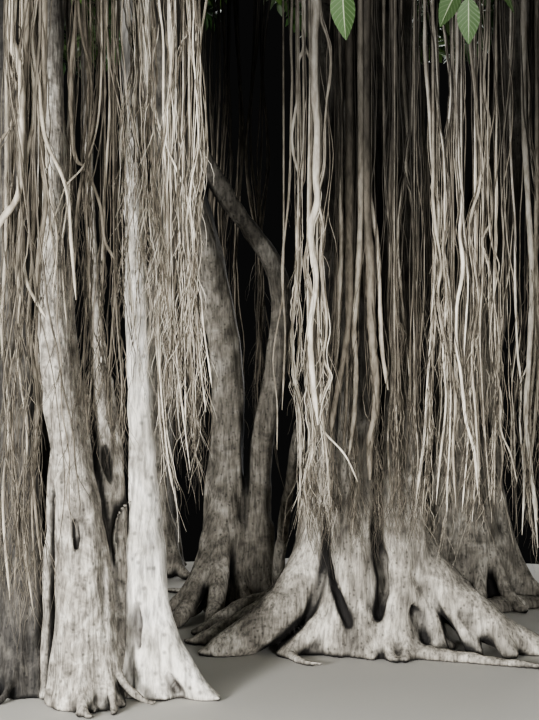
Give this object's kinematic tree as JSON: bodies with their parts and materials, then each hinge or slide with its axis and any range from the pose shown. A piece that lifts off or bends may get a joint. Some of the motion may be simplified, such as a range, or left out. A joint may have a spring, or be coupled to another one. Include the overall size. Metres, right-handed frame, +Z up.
{
  "type": "banyan tree",
  "caption": "Rooted banyan with a fluted trunk, prop stems, curtains of hanging aerial roots and a full domed crown.",
  "frame": {"origin": "on the ground inside the foot of the main trunk, on the flat cut at ground level", "axes": "+Z up; the picture looks along +Y, so -Y is the side it shows and +X is its right"},
  "size_m": [11.511, 11.1078, 9.0877],
  "materials": {
    "bark": "rough grey bark",
    "hanging_roots": "dry grey-brown root bark",
    "foliage": "leathery dark green leaf"
  },
  "bodies": {
    "root": {"bough_middle_1": "bark", "bough_middle_2": "bark", "bough_middle_3": "bark", "bough_middle_4": "bark", "bough_middle_5": "bark", "bough_outer_1": "bark", "bough_outer_2": "bark", "bough_outer_3": "bark", "bough_outer_4": "bark", "bough_outer_5": "bark", "bough_outer_6": "bark", "bough_outer_7": "bark", "bough_outer_8": "bark", "bough_outer_9": "bark", "leader_1": "bark", "leader_2": "bark", "leader_3": "bark", "leaves_middle_1": "foliage", "leaves_middle_2": "foliage", "leaves_middle_3": "foliage", "leaves_middle_4": "foliage", "leaves_middle_5": "foliage", "leaves_outer_1": "foliage", "leaves_outer_2": "foliage", "leaves_outer_3": "foliage", "leaves_outer_4": "foliage", "leaves_outer_5": "foliage", "leaves_outer_6": "foliage", "leaves_outer_7": "foliage", "leaves_outer_8": "foliage", "leaves_outer_9": "foliage", "leaves_top_1": "foliage", "leaves_top_2": "foliage", "leaves_top_3": "foliage", "roots_far_left": "hanging_roots", "roots_left": "hanging_roots", "roots_left_front": "hanging_roots", "roots_middle": "hanging_roots", "roots_rear": "hanging_roots", "roots_rear_left": "hanging_roots", "roots_rear_right": "hanging_roots", "roots_right": "hanging_roots", "roots_right_front": "hanging_roots", "roots_right_outer": "hanging_roots", "roots_trunk_front": "hanging_roots", "stem_front_right": "bark", "stem_inner": "bark", "stem_left_bright": "bark", "stem_left_edge": "bark", "stem_left_leaning": "bark", "stem_left_outer": "bark", "stem_left_rear": "bark", "stem_rear_left": "bark", "stem_rear_middle": "bark", "stem_rear_right": "bark", "stem_right_far": "bark", "stem_right_rear": "bark", "trunk": "bark", "twig_low_front": "foliage"}
  },
  "joints": []
}
